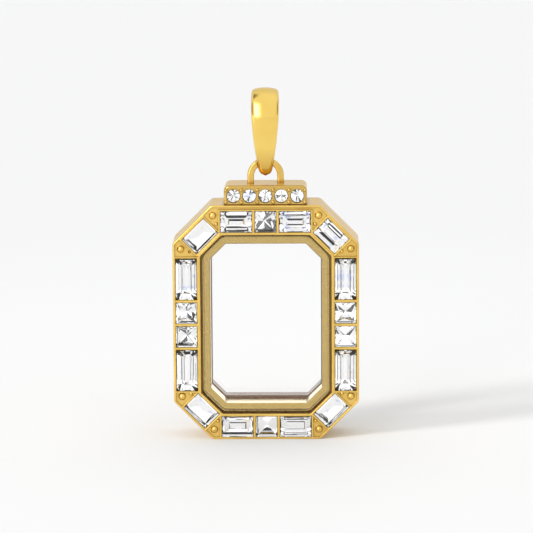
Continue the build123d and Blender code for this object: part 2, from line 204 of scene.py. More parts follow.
def stone_rim_shade(tree, parts):
    """1 on the narrow rim of painted shade round each of the bar's five round stones."""
    aside = maths(tree, "WRAP", (parts, "X"), round_stone_step / 2, -round_stone_step / 2)
    above = maths(tree, "SUBTRACT", (parts, "Z"), round_stone_height)
    away = vectors(tree, "LENGTH", combine(tree, aside, above, 0.0))
    ring = within(tree, away, "Value", 0.80 * mm, 1.01 * mm, zone_fade)
    front = within(tree, parts, "Y", case_zero.y - 1.0 * mm, case_zero.y + 0.6 * mm, depth_fade)
    bar_half = 2.5 * round_stone_step
    bar = within(tree, parts, "X", -bar_half, bar_half, depth_fade)
    return maths(tree, "MULTIPLY", maths(tree, "MULTIPLY", ring, front), bar)


def seam_shadow(tree, parts, surface):
    """1 where the seam's painted shadow lies on the outer wall, but not on the faces that meet the
    other half.
    """
    facing = node(tree, "ShaderNodeVectorTransform", vector_type="NORMAL",
                  convert_from="WORLD", convert_to="OBJECT")
    join(tree, surface, "Normal", facing, 0)
    wall = within(tree, split(tree, facing), "Y", -0.5, 0.5, 0.1)
    seam_front = case_zero.y + seam_depth - 0.08 * mm
    seam_rear = case_zero.y + seam_depth + 0.09 * mm
    line = within(tree, parts, "Y", seam_front, seam_rear, depth_fade)
    return maths(tree, "MULTIPLY", wall, line)


def plated_gold(name, colour, deep, roughness, relief, edge_round, zones=(), foot=None):
    """Gold plate on a cast: drifting tone, burnished edges, painted shade in crevices and a fine
    skin.

    Each zone of the case is a band round the window: distance from its outline (low, high),
    depth behind the front face (low, high), both in mm, and the colour there, painted light or
    shade. With zones come the painted shade of the dark rims round the bar's stones and the
    painted shadow in the seam. A foot is the heights (low, high) over which the gold deepens
    downwards as painted shade, and the colour below them.
    """
    material, tree, out = new_finish(name)
    skin = node(tree, "ShaderNodeBsdfPrincipled", Metallic=1.0)
    place = node(tree, "ShaderNodeTexCoord")
    parts = split(tree, place, "Object")
    # Patches a few millimetres across, the waves of the cast and the grain of the plate
    drift = node(tree, "ShaderNodeTexNoise", Scale=240.0, Detail=3.0)
    cast = node(tree, "ShaderNodeTexNoise", Scale=1100.0, Detail=2.0)
    fine = node(tree, "ShaderNodeTexNoise", Scale=9000.0, Detail=4.0)
    for noise in (drift, cast, fine):
        join(tree, place, "Object", noise, "Vector")

    # An edge is where the rounded normal leaves the true one
    rounded = node(tree, "ShaderNodeBevel", samples=6, Radius=edge_round)
    surface = node(tree, "ShaderNodeNewGeometry")
    agreement = vectors(tree, "DOT_PRODUCT", (rounded, "Normal"), (surface, "Normal"))
    edge = span(tree, agreement, "Value", 0.995, 0.9)
    # A crevice is where little of the surroundings is open; the gold is darkened there as painted
    # shade
    shade = node(tree, "ShaderNodeAmbientOcclusion", samples=8, only_local=True, Distance=0.6 * mm)
    crevice_shade = span(tree, shade, "AO", 0.32, 0.90, 1.0, 0.0)

    tone_and_painted_light = blend(tree, span(tree, drift, "Fac", 0.35, 0.65), deep, colour)
    # Painted light and shade of the case's zones round the window
    if zones:
        distance = window_distance(tree, parts)
        for (low, high), (near, far), tint in zones:
            across = within(tree, distance, 0, low * mm, high * mm, zone_fade)
            behind = within(tree, parts, "Y", case_zero.y + near * mm, case_zero.y + far * mm,
                            depth_fade)
            tone_and_painted_light = blend(tree, maths(tree, "MULTIPLY", across, behind), tone_and_painted_light, tint)
        # Painted shade round the bar's stones and painted shadow in the seam
        tone_and_painted_light = blend(tree, stone_rim_shade(tree, parts), tone_and_painted_light, rim_shade_tint)
        tone_and_painted_light = blend(tree, seam_shadow(tree, parts, surface), tone_and_painted_light, seam_shadow_tint)
    # Painted shade: the gold darkens towards the foot
    if foot:
        foot_low, foot_high, foot_shade_tint = foot
        tone_and_painted_light = blend(tree, span(tree, parts, "Z", foot_high, foot_low), tone_and_painted_light, foot_shade_tint)
    # Painted shade: the gold darkens in crevices
    tone_and_painted_light = blend(tree, crevice_shade, tone_and_painted_light, crevice_shade_tint, "MULTIPLY")
    join(tree, *tone_and_painted_light, skin, "Base Color")

    gloss = span(tree, fine, "Fac", 0.3, 0.7, roughness * 0.8, roughness * 1.2)
    polish = maths(tree, "MULTIPLY_ADD", edge, -0.4 * roughness, gloss)
    join(tree, polish, 0, skin, "Roughness")

    waves = node(tree, "ShaderNodeBump", Strength=relief, Distance=0.05 * mm)
    join(tree, cast, "Fac", waves, "Height")
    join(tree, rounded, "Normal", waves, "Normal")
    grain = node(tree, "ShaderNodeBump", Strength=relief, Distance=0.006 * mm)
    join(tree, fine, "Fac", grain, "Height")
    join(tree, waves, "Normal", grain, "Normal")
    join(tree, grain, "Normal", skin, "Normal")
    join(tree, skin, "BSDF", out, "Surface")
    return material


def clear_glass(name, index):
    """Clear glass that lets the sun through to what lies behind it."""
    material, tree, out = new_finish(name)
    clear = node(tree, "ShaderNodeBsdfPrincipled", Roughness=0.0, IOR=index,
                 Base_Color=(1, 1, 1, 1), Transmission_Weight=1.0)
    through = node(tree, "ShaderNodeBsdfTransparent")
    light = node(tree, "ShaderNodeLightPath")
    either = feed(tree, node(tree, "ShaderNodeMixShader"), (light, "Is Shadow Ray"), clear, through)
    join(tree, either, "Shader", out, "Surface")
    return material


def silver_foil(name, brightness=1.0):
    """Foil behind the crystals, with a faint tint that wanders, a painted coloured glint of the
    crystals' fire.
    """
    material, tree, out = new_finish(name)
    mirror = node(tree, "ShaderNodeBsdfPrincipled", Metallic=1.0, Roughness=0.02)
    plain, cold, warm = (tuple(brightness * part for part in tint) for tint in foil_and_fire_tints)
    place = node(tree, "ShaderNodeTexCoord")
    drift = node(tree, "ShaderNodeTexNoise", Scale=700.0, Detail=1.0)
    join(tree, place, "Object", drift, "Vector")
    tint = blend(tree, span(tree, drift, "Fac", 0.66, 0.72), plain, cold)
    tint = blend(tree, span(tree, drift, "Fac", 0.30, 0.26), tint, warm)
    join(tree, *tint, mirror, "Base Color")
    join(tree, mirror, "BSDF", out, "Surface")
    return material


case_look = {"colour": (0.87, 0.59, 0.165), "deep": (0.76, 0.50, 0.125), "roughness": 0.25,
             "relief": 0.40, "edge_round": 0.09 * mm}
# Painted light and shade round the window: darker gold on the pane's frame, in the line round it
# and on the bar's front as painted shade, lighter gold in the bore behind the pane as painted light
front_painted_light_zones = (
    ((-2.2, -0.30), (0.2, 1.42), (0.56, 0.40, 0.128)),    # frame of the pane
    ((-2.4, -1.0), (1.42, 4.6), (1.0, 0.89, 0.62)),       # bore behind it
    ((-0.56, 0.03), (0.2, 2.6), (0.38, 0.265, 0.11)),     # dark line round it
    ((4.5, 9.0), (-0.6, 0.6), (0.62, 0.41, 0.115)),       # front of the bar
)
# Painted shade in the bore of the back half
back_painted_shade_zones = (
    ((-4.0, -0.9), (3.4, 7.0), (0.165, 0.102, 0.068)),    # bore of the back half
)
satin_gold = plated_gold("front_gold", **case_look, zones=front_painted_light_zones)
back_gold = plated_gold("back_gold", **case_look, zones=back_painted_shade_zones)
# Bright gold of the bail, darker towards its foot as painted shade
polished_gold = plated_gold(
    "bright_gold", (0.935, 0.665, 0.178), (0.90, 0.625, 0.15), 0.15, 0.12, 0.08 * mm,
    foot=(bail_low[2] + 0.6 * mm, bail_low[2] + 4.2 * mm, (0.64, 0.40, 0.09)))
window_glass = clear_glass("clear_pane", 1.33)
crystal = clear_glass("cut_crystal", 1.55)
foil = silver_foil("silver_foil")
# Dimmed and dark foil for chosen facets: painted dark reflections in the stones
dull_foil = silver_foil("dull_foil", 0.16)
dark_foil = silver_foil("dark_foil", 0.05)

for name, material in (
        ("front_case", satin_gold), ("back_case", back_gold), ("hinge_pin", satin_gold),
        ("front_glass", window_glass), ("back_glass", window_glass)):
    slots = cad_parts[name].data.materials
    slots.clear()
    slots.append(material)


# ---------------------------------------------------------------- bail

# Seen from the side the bail is a teardrop. Seen from the front it narrows from its shoulder to
# its waist and ends in a round tip. The link is the loop's wire, which swings in the foot.
bail_middle = (bail_low[1] + bail_high[1]) / 2
bail_top = bail_high[2]
bail_foot = bail_low[2] - 0.05 * mm
bail_half_width = (bail_high[0] - bail_low[0]) / 2
bail_top_radius = (bail_high[1] - bail_low[1]) / 2
bail_foot_radius = 1.2 * mm
bail_strap = 1.15 * mm
bail_shoulder = bail_top - 2.3 * mm
bail_waist = bail_foot + 1.25 * mm
bail_waist_half = 1.02 * mm
bail_tip = 1.2 * mm
bail_edge_round = 0.42 * mm
crown_drop = 0.34 * mm
link_height = case_zero.z + 23.31 * mm
link_room = 0.57 * mm
saddle_flare = 0.52


def teardrop(top_radius, top_height, foot_radius, foot_height, turns=48, rungs=26, foot_turns=24):
    """Side view as points (depth, height) with outward normals, once round from the top."""
    lean = math.asin((top_radius - foot_radius) / (top_height - foot_height))
    flank = math.pi / 2 + lean
    half = [(top_radius, top_height, flank * step / (turns // 2)) for step in range(turns // 2)]
    for step in range(rungs):
        share = step / rungs
        half.append((top_radius + (foot_radius - top_radius) * share,
                     top_height + (foot_height - top_height) * share, flank))
    for step in range(foot_turns // 2 + 1):
        half.append((foot_radius, foot_height,
                     flank + (math.pi / 2 - lean) * step / (foot_turns // 2)))
    front = [(-radius * math.sin(angle), height + radius * math.cos(angle),
              -math.sin(angle), math.cos(angle)) for radius, height, angle in half]
    rear = [(-depth, height, -normal_depth, normal_height)
            for depth, height, normal_depth, normal_height in front[-2:0:-1]]
    return front + rear


def bail_half_at(height):
    """Half width of the bail, seen from the front, at a height."""
    if height >= bail_shoulder:
        return bail_half_width
    if height >= bail_waist:
        narrow, fall = bail_half_width - bail_waist_half, bail_shoulder - bail_waist
        bend = (narrow ** 2 + fall ** 2) / (2 * narrow)
        return bail_half_width - bend + math.sqrt(bend ** 2 - (bail_shoulder - height) ** 2)
    share = min((bail_waist - height) / bail_tip, 0.995)
    return bail_waist_half * math.sqrt(1 - share ** 1.8)


def clear_of_link(depth, height, x):
    """Point (x, depth, height), kept out of the room that the loop's wire swings in."""
    away = math.hypot(depth, height - link_height)
    push = max((link_room + saddle_flare * abs(x)) / away, 1.0)
    return x, depth * push, link_height + (height - link_height) * push


def strap_front(depth, height, normal_depth, normal_height, steps=20):
    """Row of points across the strap's outside: crowned, with rounded edges."""
    wide = bail_half_at(height)
    bevel = min(bail_edge_round, 0.6 * wide)
    row = []
    for step in range(steps + 1):
        x = wide * math.sin((step / steps - 0.5) * math.pi)
        over = max(abs(x) - (wide - bevel), 0.0)
        drop = crown_drop * (x / bail_half_width) ** 2
        drop += bevel - math.sqrt(max(bevel ** 2 - over ** 2, 0.0))
        row.append(clear_of_link(depth - normal_depth * drop, height - normal_height * drop, x))
    return row


def strap_side(edge, end, side, steps=5):
    """Points over one side of the strap, from its outer to its inner edge."""
    column = []
    for step in range(1, steps + 1):
        _, depth, height = (a + (b - a) * step / steps for a, b in zip(edge, end))
        column.append(clear_of_link(depth, height, side * bail_half_at(height)))
    return column


def bail_strap_mesh():
    """Closed strap: crowned outside with rounded edges, plain inside, saddled for the loop."""
    outside = teardrop(bail_top_radius, bail_top - bail_top_radius,
                       bail_foot_radius, bail_foot + bail_foot_radius)
    inside = teardrop(bail_top_radius - bail_strap, bail_top - bail_top_radius,
                      link_room, link_height)
    inner_steps = 6
    points, faces = [], []
    for outer_place, (inner_depth, inner_height, _, _) in zip(outside, inside):
        front = strap_front(*outer_place)
        inner_half = bail_half_at(inner_height)
        end = clear_of_link(inner_depth, inner_height, inner_half)
        back = [clear_of_link(inner_depth, inner_height, (1 - 2 * step / inner_steps) * inner_half)
                for step in range(1, inner_steps)]
        ring = (front + strap_side(front[-1], end, 1) + back
                + strap_side(front[0], end, -1)[::-1])
        points += [(x, bail_middle + depth, height) for x, depth, height in ring]
    count, rings = len(ring), len(outside)
    for one in range(rings):
        two = (one + 1) % rings
        for here in range(count):
            there = (here + 1) % count
            faces.append((one * count + here, one * count + there,
                          two * count + there, two * count + here))
    mesh = bpy.data.meshes.new("bail_strap")
    mesh.from_pydata(points, [], faces)
    shape = bmesh.new()
    shape.from_mesh(mesh)
    bmesh.ops.remove_doubles(shape, verts=shape.verts, dist=0.001 * mm)
    bmesh.ops.recalc_face_normals(shape, faces=shape.faces)
    shape.to_mesh(mesh)
    shape.free()
    mesh.shade_smooth()
    mesh.set_sharp_from_angle(angle=math.radians(40))
    return mesh


strap = bpy.data.objects.new("bail_strap", bail_strap_mesh())
scene.collection.objects.link(strap)
strap.data.materials.append(polished_gold)
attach(strap, "bail")
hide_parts("bail")


# ---------------------------------------------------------------- cut stones

def new_shape_tree(name, sizes):
    """Geometry Nodes tree with named inputs; sizes is a list of (name, socket kind)."""
    tree = bpy.data.node_groups.new(name, "GeometryNodeTree")
    for label, kind in sizes:
        tree.interface.new_socket(name=label, in_out="INPUT", socket_type="NodeSocket" + kind)
    tree.interface.new_socket(name="Geometry", in_out="OUTPUT", socket_type="NodeSocketGeometry")
    return tree, tree.nodes.new("NodeGroupInput"), tree.nodes.new("NodeGroupOutput")


def grow_mesh(tree, name, values):
    """Run a tree with the given input values and keep its result as a plain mesh object."""
    seed = bpy.data.objects.new("seed", bpy.data.meshes.new("seed"))
    scene.collection.objects.link(seed)
    modifier = seed.modifiers.new("shape", "NODES")
    modifier.node_group = tree
    for item in tree.interface.items_tree:
        if item.in_out == "INPUT" and item.name in values:
            modifier[item.identifier] = values[item.name]
    ready = seed.evaluated_get(bpy.context.evaluated_depsgraph_get())
    mesh = bpy.data.meshes.new_from_object(ready)
    mesh.name = name
    bpy.data.objects.remove(seed)
    kinds = [mesh.materials[face.material_index] for face in mesh.polygons]
    used = sorted(set(kinds), key=lambda material: material.name)
    mesh.materials.clear()
    for material in used:
        mesh.materials.append(material)
    for face, material in zip(mesh.polygons, kinds):
        face.material_index = used.index(material)
    piece = bpy.data.objects.new(name, mesh)
    scene.collection.objects.link(piece)
    return piece


def paint(tree, source, output, material, chosen):
    """Give the chosen faces a material."""
    made = node(tree, "GeometryNodeSetMaterial", Material=material)
    join(tree, source, output, made, "Geometry")
    join(tree, chosen, 0, made, "Selection")
    return made


def wavering(tree, given):
    """Small random shift of each point, as large as Unevenness says."""
    chance = feed(tree, node(tree, "FunctionNodeRandomValue", data_type="FLOAT_VECTOR"),
                  Vector((-1, -0.4, -1)), Vector((1, 0.4, 1)))
    join(tree, given, "Seed", chance, "Seed")
    shift = vectors(tree, "SCALE", chance)
    join(tree, given, "Unevenness", shift, "Scale")
    return shift


def dressed_stone(tree, given, source, output, foil_from):
    """Clear crystal in front, foil behind the named depth, then turned and put in its place.

    Faces that already carry the dark foil of a painted dark reflection stay so. The share of
    facets given by Darkened gets the dimmer foil, also a painted dark reflection.
    """
    light = logic(tree, "NOT", node(tree, "GeometryNodeMaterialSelection", Material=dark_foil))
    parts = split(tree, node(tree, "GeometryNodeInputPosition"))
    deep = maths(tree, "GREATER_THAN", (parts, "Y"), (given, foil_from))
    behind = logic(tree, "AND", deep, light)
    chance = node(tree, "FunctionNodeRandomValue", data_type="BOOLEAN")
    join(tree, given, "Dull", chance, "Probability")
    join(tree, given, "Seed", chance, "Seed")
    clear = paint(tree, source, output, crystal, light)
    bright = paint(tree, clear, "Geometry", foil, behind)
    darkened = paint(tree, bright, "Geometry", dull_foil, logic(tree, "AND", behind, (chance, 3)))
    seat = node(tree, "GeometryNodeTransform")
    join(tree, given, "Place", seat, "Translation")
    join(tree, given, "Turn", seat, "Rotation")
    join(tree, darkened, "Geometry", seat, "Geometry")
    whole = node(tree, "GeometryNodeRealizeInstances")
    join(tree, seat, "Geometry", whole, "Geometry")
    return whole


# Front of the square and long stones in mm: inset of the table, and depths of the table, of the
# crown's edge and of the girdle's rear edge
table_inset, table_level, crown_level, girdle_level = 0.12, 0.06, 0.16, 0.24

front_rings = (("Table", table_inset, table_level), ("Crown Edge", 0.0, crown_level),
               ("Girdle Edge", 0.0, girdle_level))
rear_rings = ("Step", "Second Step", "Third Step", "Keel")
cut_rings = tuple(ring for ring, _, _ in front_rings) + rear_rings


def step_cut_tree():
    """Step-cut stone: a table outline pulled back ring by ring, foiled behind its girdle."""
    sizes = [("Length", "Float"), ("Width", "Float"), ("Corner", "Float")]
    for ring in cut_rings:
        sizes += [(ring + " Inset", "Float"), (ring + " Depth", "Float")]
    for ring in rear_rings:
        sizes += [(ring + " Dark Above", "Bool"), (ring + " Dark Below", "Bool")]
    sizes += [("Keel Along", "Float"), ("Keel Across", "Float"), ("Unevenness", "Float"),
              ("Dull", "Float"), ("Seed", "Int"), ("Place", "Vector"), ("Turn", "Vector")]
    tree, given, result = new_shape_tree("step cut stone", sizes)

    outline = node(tree, "GeometryNodeCurvePrimitiveQuadrilateral")
    join(tree, given, "Length", outline, "Width")
    join(tree, given, "Width", outline, "Height")
    corners = node(tree, "GeometryNodeFilletCurve")
    join(tree, outline, "Curve", corners, "Curve")
    join(tree, given, "Corner", corners, "Radius")
    face = node(tree, "GeometryNodeFillCurve", mode="NGONS")
    join(tree, corners, "Curve", face, "Curve")
    stand = node(tree, "GeometryNodeTransform", Rotation=(math.pi / 2, 0, 0))
    join(tree, face, "Mesh", stand, "Geometry")

    where = node(tree, "GeometryNodeInputPosition")
    half_length = maths(tree, "MULTIPLY", (given, "Length"), 0.5)
    half_width = maths(tree, "MULTIPLY", (given, "Width"), 0.5)
    share = vectors(tree, "DIVIDE", where, combine(tree, half_length, 1.0, half_width))
    keep = node(tree, "GeometryNodeCaptureAttribute")
    keep.capture_items.new("VECTOR", "share")
    join(tree, stand, "Geometry", keep, "Geometry")
    join(tree, share, 0, keep, 1)

    def ring_place(ring, number):
        """Position on a ring, from its share of the half sizes."""
        inset = (given, ring + " Inset")
        size = combine(tree, maths(tree, "SUBTRACT", half_length, inset), 0.0,
                       maths(tree, "SUBTRACT", half_width, inset))
        lean = max(number - 2, 0) / len(rear_rings)
        drop = combine(tree, maths(tree, "MULTIPLY", (given, "Keel Along"), lean),
                       (given, ring + " Depth"),
                       maths(tree, "MULTIPLY", (given, "Keel Across"), lean))
        place = vectors(tree, "ADD", vectors(tree, "MULTIPLY", (keep, 1), size), drop)
        return vectors(tree, "ADD", place, wavering(tree, given)) if ring in rear_rings else place

    def long_side(ring, sides):
        """Faces of a ring's band on its long sides, above and below as the inputs say, that get
        dark foil as a painted dark reflection.
        """
        parts = split(tree, where)
        middle = maths(tree, "LESS_THAN", maths(tree, "ABSOLUTE", (parts, "X")), 0.3 * mm)
        above = logic(tree, "AND", maths(tree, "GREATER_THAN", (parts, "Z"), 0.05 * mm),
                      (given, ring + " Dark Above"))
        below = logic(tree, "AND", maths(tree, "LESS_THAN", (parts, "Z"), -0.05 * mm),
                      (given, ring + " Dark Below"))
        return logic(tree, "AND", logic(tree, "OR", above, below), middle, (sides, "Side"))

    table = node(tree, "GeometryNodeSetPosition")
    join(tree, keep, 0, table, "Geometry")
    join(tree, ring_place("Table", 0), 0, table, "Position")
    turned = node(tree, "GeometryNodeFlipFaces")
    join(tree, table, "Geometry", turned, "Mesh")
    behind, pull = turned, None
    for number, ring in enumerate(cut_rings[1:], start=1):
        last_pull = pull
        pull = node(tree, "GeometryNodeExtrudeMesh", mode="FACES", Individual=False,
                    Offset_Scale=0.0)
        join(tree, behind, 0, pull, "Mesh")
        if last_pull:
            join(tree, last_pull, "Top", pull, "Selection")
        behind = node(tree, "GeometryNodeSetPosition")
        join(tree, pull, "Mesh", behind, "Geometry")
        join(tree, pull, "Top", behind, "Selection")
        join(tree, ring_place(ring, number), 0, behind, "Position")
        # Chosen bands on the long sides get dark foil as a painted dark reflection
        if ring in rear_rings:
            behind = paint(tree, behind, "Geometry", dark_foil, long_side(ring, pull))
    together = node(tree, "GeometryNodeJoinGeometry")
    join(tree, table, "Geometry", together, "Geometry")
    join(tree, behind, 0, together, "Geometry")
    closed = node(tree, "GeometryNodeMergeByDistance", Distance=0.001 * mm)
    join(tree, together, "Geometry", closed, "Geometry")

    join(tree, dressed_stone(tree, given, closed, "Geometry", "Crown Edge Depth"), "Geometry",
         result, "Geometry")
    return tree


def hull_cut_tree(name, rings):
    """Cut stone as the hull of its rings of corners, foiled behind its girdle.

    Each ring is (name, corners, turn in degrees); the rings behind the girdle lean off the axis.
    """
    sizes = []
    for ring, _, _ in rings:
        sizes += [(ring + " Radius", "Float"), (ring + " Depth", "Float")]
    sizes += [("Lean", "Vector"), ("Unevenness", "Float"), ("Dull", "Float"), ("Seed", "Int"),
              ("Place", "Vector"), ("Turn", "Vector")]
    tree, given, result = new_shape_tree(name, sizes)
    together = node(tree, "GeometryNodeJoinGeometry")
    for ring, count, turn in rings:
        circle = node(tree, "GeometryNodeMeshCircle", Vertices=count)
        join(tree, given, ring + " Radius", circle, "Radius")
        around = node(tree, "GeometryNodeTransform", Rotation=(0, 0, math.radians(turn)))
        join(tree, circle, "Mesh", around, "Geometry")
        placed = node(tree, "GeometryNodeTransform", Rotation=(math.pi / 2, 0, 0))
        join(tree, around, "Geometry", placed, "Geometry")
        join(tree, combine(tree, 0.0, (given, ring + " Depth"), 0.0), 0, placed, "Translation")
        if ring in ("Pavilion", "Culet"):
            stand = placed
            offset = vectors(tree, "ADD", wavering(tree, given), (given, "Lean"))
            placed = node(tree, "GeometryNodeSetPosition")
            join(tree, stand, "Geometry", placed, "Geometry")
            join(tree, offset, 0, placed, "Offset")
        join(tree, placed, "Geometry", together, "Geometry")
    hull = node(tree, "GeometryNodeConvexHull")
    join(tree, together, "Geometry", hull, "Geometry")
    join(tree, dressed_stone(tree, given, hull, "Convex Hull", "Girdle Front Depth"), "Geometry",
         result, "Geometry")
    return tree


def set_stone(tree, name, values):
    """Grow a cut stone in the place of its node."""
    stone = grow_mesh(tree, "cut_" + name, values)
    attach(stone, "front")
    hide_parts(name)


# Pavilion of each cut: bands from the girdle to the keel, as width in mm, tilt and, for a dark
# band, whether it is dark above, below or on both long sides; a dark band's foil is a painted
# dark reflection
cuts = {
    "many bars": ((0.56, 54), (0.20, 46, "both"), (0.30, 42), (0.26, 34, "above")),
    "fine bars": ((0.50, 54), (0.10, 46, "above"), (0.38, 42), (0.27, 36, "both")),
    "two bars": ((0.28, 54), (0.26, 46, "below"), (0.44, 42), (0.16, 36, "above")),
    "frame": ((0.50, 54), (0.09, 46, "both"), (0.35, 42), (0.08, 38, "below")),
    "white": ((0.40, 43.5), (0.40, 43), (0.35, 43), (0.30, 43)),
    "side lines": ((0.75, 54), (0.06, 44, "both"), (0.30, 42), (0.20, 41)),
    "side walls": ((0.72, 54), (0.05, 44, "above"), (0.25, 42), (0.06, 41, "both")),
    "slanted lines": ((0.74, 52), (0.20, 45, "both"), (0.20, 42), (0.15, 41)),
}

# Stone, its cut, and how far its keel lies off the middle, along and across, in mm
stone_cuts = (
    ("stone_top_1", "many bars", 0.00, -0.20),
    ("stone_top_3", "fine bars", 0.00, -0.20),
    ("stone_bottom_1", "two bars", 0.00, 0.00),
    ("stone_bottom_3", "frame", 0.00, 0.00),
    ("stone_left_1", "side lines", 0.00, 0.00),
    ("stone_left_4", "side walls", 0.00, 0.00),
    ("stone_right_1", "side lines", 0.00, 0.00),
    ("stone_right_4", "side lines", 0.05, 0.05),
    ("stone_upper_left", "white", 0.00, 0.00),
    ("stone_upper_right", "slanted lines", 0.00, 0.00),
    ("stone_lower_left", "white", 0.00, 0.00),
    ("stone_lower_right", "white", 0.05, 0.05),
)


def step_cut_values(name, cut, along, across):
    """Input values of a step-cut stone that fills its node's place."""
    low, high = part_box(name)
    size = [b - a for a, b in zip(low, high)]
    if name.startswith(("stone_upper", "stone_lower")):
        length, width = corner_stone_size
        turn = 45.0 if name in ("stone_upper_right", "stone_lower_left") else -45.0
    elif name.startswith(("stone_left", "stone_right")):
        length, width, turn = size[2], size[0], -90.0
    else:
        length, width, turn = size[0], size[2], 0.0
    values = {
        "Length": length, "Width": width,
        "Corner": long_stone_corner if turn == -90.0 else 0.0,
        "Keel Along": along * mm, "Keel Across": across * mm,
        "Unevenness": 0.015 * mm, "Dull": 0.0, "Seed": 3,
        "Place": ((low[0] + high[0]) / 2, case_zero.y, (low[2] + high[2]) / 2),
        "Turn": (0.0, math.radians(turn), 0.0),
    }
    for ring, inset, depth in front_rings:
        values[ring + " Inset"] = inset * mm
        values[ring + " Depth"] = depth * mm
    inset, depth = 0.0, girdle_level
    for ring, (band, tilt, *dark) in zip(rear_rings, cuts[cut]):
        inset += band
        depth += band * math.tan(math.radians(tilt))
        values[ring + " Inset"] = inset * mm
        values[ring + " Depth"] = depth * mm
        values[ring + " Dark Above"] = dark in (["above"], ["both"])
        values[ring + " Dark Below"] = dark in (["below"], ["both"])
    return values


step_cut = step_cut_tree()
for name, cut, along, across in stone_cuts:
    set_stone(step_cut, name, step_cut_values(name, cut, along, across))

round_cut = hull_cut_tree("round brilliant", (
    ("Table", 8, 22.5), ("Crown", 8, 0.0), ("Girdle Front", 16, 0.0), ("Girdle Back", 16, 0.0),
    ("Pavilion", 8, 0.0), ("Culet", 8, 0.0)))
square_cut = hull_cut_tree("square brilliant", (
    ("Table", 4, 45.0), ("Crown", 4, 45.0), ("Girdle Front", 4, 45.0), ("Girdle Back", 4, 45.0),
    ("Pavilion", 4, 0.0), ("Culet", 4, 45.0)))
# Rings of a round stone: radius as a share of the stone's, and depth in mm
round_rings = (("Table", 0.50, 0.0), ("Crown", 0.76, 0.12), ("Girdle Front", 0.98, 0.24),
               ("Girdle Back", 0.98, 0.27), ("Pavilion", 0.42, 0.80), ("Culet", 0.06, 1.12))
# Square stone, distance of the pavilion's corners from its axis in mm, tilt outside and inside
# them, unevenness and lean in mm, share of darkened facets, whose dimmer foil is a painted dark
# reflection, and the chance that shapes it
square_stones = (
    ("stone_top_2", 1.0, 52, 40, 0.12, (-0.10, 0.05), 0.25, 30),
    ("stone_bottom_2", 0.6, 46, 40, 0.08, (0.10, 0.10), 0.0, 10),
    ("stone_left_2", 0.9, 50, 38, 0.08, (0.10, 0.10), 0.12, 11),
    ("stone_left_3", 0.8, 48, 40, 0.08, (0.10, 0.10), 0.12, 22),
    ("stone_right_2", 0.9, 50, 38, 0.12, (-0.10, 0.05), 0.12, 9),
    ("stone_right_3", 0.6, 46, 40, 0.12, (-0.10, 0.05), 0.12, 6),
)
# Round stone's number, its turn in degrees and the chance that shapes it
round_stones = ((1, 0.0, 0), (2, 48.0, 6), (3, 24.0, 3), (4, 12.0, 12), (5, 72.0, 9))


def hull_values(rings, radius, place, turn, **more):
    """Input values of a hull-cut stone: each ring as a share of the radius and a depth in mm."""
    values = {"Place": place, "Turn": (0.0, math.radians(turn), 0.0), **more}
    for ring, share, depth in rings:
        values[ring + " Radius"] = share * radius
        values[ring + " Depth"] = depth * mm
    return values


for name, corner, outer, inner, uneven, lean, darkened, seed in square_stones:
    low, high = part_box(name)
    half = (high[0] - low[0]) / 2 / mm
    knee = girdle_level + (half - corner) * math.tan(math.radians(outer))
    tip = knee + corner * math.tan(math.radians(inner))
    table_share = 1 - table_inset / half
    rings = (("Table", table_share, table_level), ("Crown", table_share, table_level),
             ("Girdle Front", 1.0, crown_level), ("Girdle Back", 1.0, girdle_level),
             ("Pavilion", corner / half / math.sqrt(2), knee), ("Culet", 0.03, tip))
    middle = ((low[0] + high[0]) / 2, case_zero.y, (low[2] + high[2]) / 2)
    set_stone(square_cut, name, hull_values(
        rings, half * math.sqrt(2) * mm, middle, 0.0, Dull=darkened, Seed=seed,
        Unevenness=uneven * mm, Lean=(lean[0] * mm, 0.0, lean[1] * mm)))

for number, turn, seed in round_stones:
    name = "bar_stone_%d" % number
    low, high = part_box(name)
    middle = ((low[0] + high[0]) / 2, low[1], (low[2] + high[2]) / 2)
    set_stone(round_cut, name, hull_values(
        round_rings, (high[0] - low[0]) / 2, middle, turn, Dull=0.15, Seed=seed,
        Unevenness=0.015 * mm, Lean=(0.0, 0.0, 0.0)))


# ---------------------------------------------------------------- floor, light and camera

def paper_floor(reach=4.0):
    """White paper under the locket with a painted pool of light, a little darker away from it."""
    mesh = bpy.data.meshes.new("floor")
    level = case_low[2]
    mesh.from_pydata([(-reach, -reach, level), (reach, -reach, level),
                      (reach, reach, level), (-reach, reach, level)], [], [(0, 1, 2, 3)])
    made = bpy.data.objects.new("floor", mesh)
    scene.collection.objects.link(made)
    paper, tree, out = new_finish("paper")
    sheet = node(tree, "ShaderNodeBsdfPrincipled", Roughness=0.6, Specular_IOR_Level=0.2)
    place = node(tree, "ShaderNodeTexCoord")
    away = vectors(tree, "LENGTH", (place, "Object"))
    # Painted pool of light: the paper is lighter near the locket
    tone = blend(tree, span(tree, away, "Value", 0.04, 0.20),
                 (0.825, 0.825, 0.825), (0.775, 0.775, 0.78))
    join(tree, *tone, sheet, "Base Color")
    join(tree, sheet, "BSDF", out, "Surface")
    mesh.materials.append(paper)
    return made


# Dimmer parts of the room, as metal sees it: direction, the angles within which a part is full
# and beyond which it is gone, and its brightness
dim_parts = (
    ((0, 1, 0), 45, 80, 0.80),               # rear
    ((0.96, 0.15, 0.1), 20, 30, 0.30),       # flag at the right
    ((-0.96, 0.15, 0.1), 20, 30, 0.30),      # flag at the left
    ((-0.46, 0.22, 0.86), 9, 16, 0.25),      # spot at the upper left
)
patch_rise, patch_near, patch_far = 10.5, 4.6, 5.6
stone_light, patch_light, paper_light = 1.40, 0.04, 0.915


